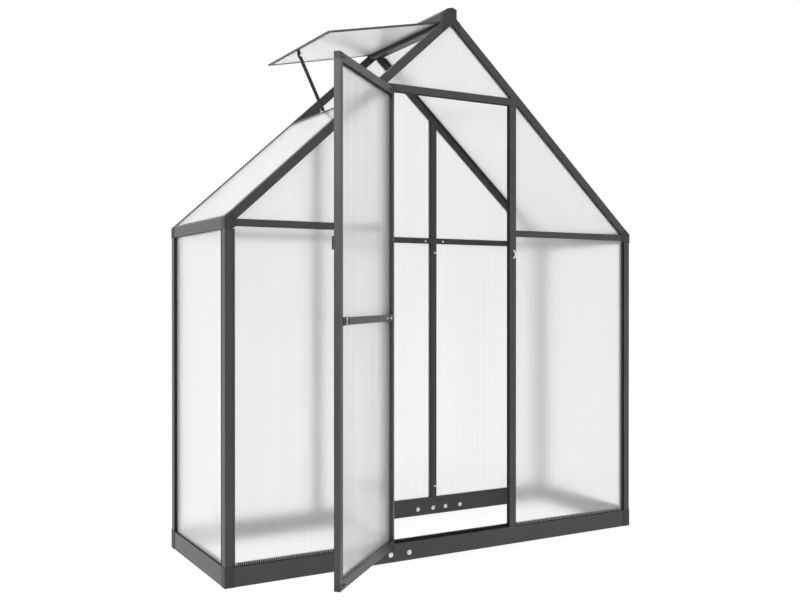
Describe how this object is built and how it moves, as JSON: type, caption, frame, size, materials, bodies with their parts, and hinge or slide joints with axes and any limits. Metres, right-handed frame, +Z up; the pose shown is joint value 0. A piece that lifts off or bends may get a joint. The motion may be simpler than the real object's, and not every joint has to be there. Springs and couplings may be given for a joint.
{
  "type": "polycarbonate greenhouse",
  "caption": "Small gable-roofed garden greenhouse with dark metal frame, twin-wall clear sheets, a hinged front door and a raised roof vent.",
  "frame": {"origin": "centre of the front base rail's underside, where the greenhouse rests on the ground", "axes": "+X to the right along the front wall, seen from outside, +Y from the front wall to the back wall, +Z up"},
  "size_m": [1.903, 1.0725, 2.1924],
  "materials": {
    "frame": "satin powder coat",
    "cap": "matte",
    "sheet": "clear twin-wall polycarbonate",
    "zinc": "zinc plated"
  },
  "bodies": {
    "house": {"base_front": "frame", "base_back": "frame", "base_left": "frame", "base_right": "frame", "base_caps": "cap", "front_corner_posts": "frame", "back_corner_posts": "frame", "door_posts": "frame", "back_posts": "frame", "lintel": "frame", "front_eave_bars": "frame", "back_eave_bars": "frame", "eave_rail_left": "frame", "eave_rail_right": "frame", "eave_caps": "cap", "front_rafters": "frame", "back_rafters": "frame", "ridge_beam": "frame", "ridge_caps": "cap", "vent_sill": "frame", "vent_hinge_bar": "frame", "vent_outer_bar": "frame", "vent_side_bars": "frame", "vent_sheet": "sheet", "vent_stay": "cap", "front_sheets": "sheet", "front_gable_sheets": "sheet", "back_sheets": "sheet", "back_gable_sheets": "sheet", "side_sheets": "sheet", "roof_sheet_right": "sheet", "roof_sheet_left": "sheet", "hinge_brackets": "cap", "latch_keeper": "zinc"},
    "door": {"door_hinge_stile": "frame", "door_latch_stile": "frame", "door_top_rail": "frame", "door_mid_rail": "frame", "door_bottom_rail": "frame", "door_rail_brackets": "cap", "door_caps": "cap", "door_pins": "zinc", "door_sheet": "sheet", "door_latch": "cap"}
  },
  "joints": [
    {"name": "door_hinge", "type": "hinge", "parent": "house", "child": "door", "pos_m": [-0.286, -0.026, 0.95], "axis": [0, 0, 1], "range_deg": [-33, 137]}
  ]
}
